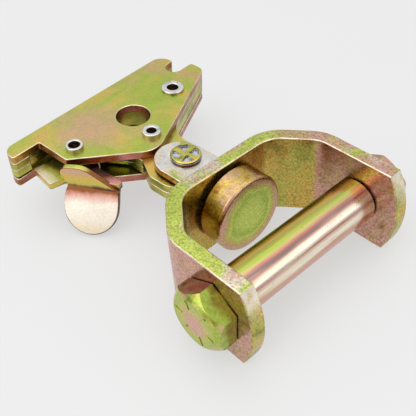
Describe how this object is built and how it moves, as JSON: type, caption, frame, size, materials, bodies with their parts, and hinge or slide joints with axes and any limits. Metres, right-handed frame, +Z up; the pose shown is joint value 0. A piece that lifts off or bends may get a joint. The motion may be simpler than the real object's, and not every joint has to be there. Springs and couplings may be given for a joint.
{
  "type": "latching track fitting with swivel clevis",
  "caption": "Spring-latched plate fitting that hooks into a slotted track, hinged on a swivelling U-link, with a bent-bar clevis, bolt and load sleeve.",
  "frame": {"origin": "middle of the lower edge of the clevis base, which the object lies on, straight below the swivel stud", "axes": "+X along the clevis bolt from head to nut, +Y along the stud axis from the clevis to the track fitting, +Z up from the face the part lies on"},
  "size_m": [0.1103, 0.151, 0.0381],
  "materials": {
    "clevis_bracket": "yellow chromate over zinc plate, iridescent",
    "hex_bolt": "yellow chromate over zinc plate, iridescent",
    "hex_nut": "yellow chromate over zinc plate, iridescent",
    "load_sleeve": "yellow chromate over zinc plate, iridescent",
    "swivel_stud": "yellow chromate over zinc plate, iridescent",
    "link_strap": "yellow chromate over zinc plate, iridescent",
    "link_rivet": "bright zinc plate",
    "upper_outer_plate": "yellow chromate over zinc plate, iridescent",
    "upper_middle_plate": "yellow chromate over zinc plate, iridescent",
    "lower_middle_plate": "yellow chromate over zinc plate, iridescent",
    "lower_outer_plate": "yellow chromate over zinc plate, iridescent",
    "latch_pivot_rivet": "bright zinc plate",
    "tail_rivet": "bright zinc plate",
    "hook_rivet": "bright zinc plate",
    "latch": "yellow chromate over zinc plate, iridescent",
    "latch_spring": "drawn spring wire",
    "spring_arm": "drawn spring wire"
  },
  "bodies": {
    "clevis": {"clevis_bracket": "clevis_bracket", "hex_bolt": "hex_bolt", "hex_nut": "hex_nut"},
    "sleeve": {"load_sleeve": "load_sleeve"},
    "link": {"swivel_stud": "swivel_stud", "link_strap": "link_strap", "link_rivet": "link_rivet"},
    "head": {"upper_outer_plate": "upper_outer_plate", "upper_middle_plate": "upper_middle_plate", "lower_middle_plate": "lower_middle_plate", "lower_outer_plate": "lower_outer_plate", "latch_pivot_rivet": "latch_pivot_rivet", "tail_rivet": "tail_rivet", "hook_rivet": "hook_rivet", "latch_spring": "latch_spring"},
    "latch": {"latch": "latch", "spring_arm": "spring_arm"}
  },
  "joints": [
    {"name": "sleeve_spin", "type": "hinge", "parent": "clevis", "child": "sleeve", "pos_m": [0, -0.03973, 0.01905], "axis": [1, 0, 0], "continuous": true},
    {"name": "stud_swivel", "type": "hinge", "parent": "clevis", "child": "link", "pos_m": [0, -0.00317, 0.01905], "axis": [0, 1, 0], "continuous": true},
    {"name": "link_hinge", "type": "hinge", "parent": "link", "child": "head", "pos_m": [0.00021, 0.02382, 0.02028], "axis": [0.0209, -0.0732, 0.9971], "range_deg": [-45, 45]},
    {"name": "latch_turn", "type": "hinge", "parent": "head", "child": "latch", "pos_m": [-0.03119, 0.06061, 0.02364], "axis": [0.0209, -0.0732, 0.9971], "range_deg": [0, 20], "stiffness_Nm_per_rad": 0.12, "springref_deg": -20.05}
  ]
}
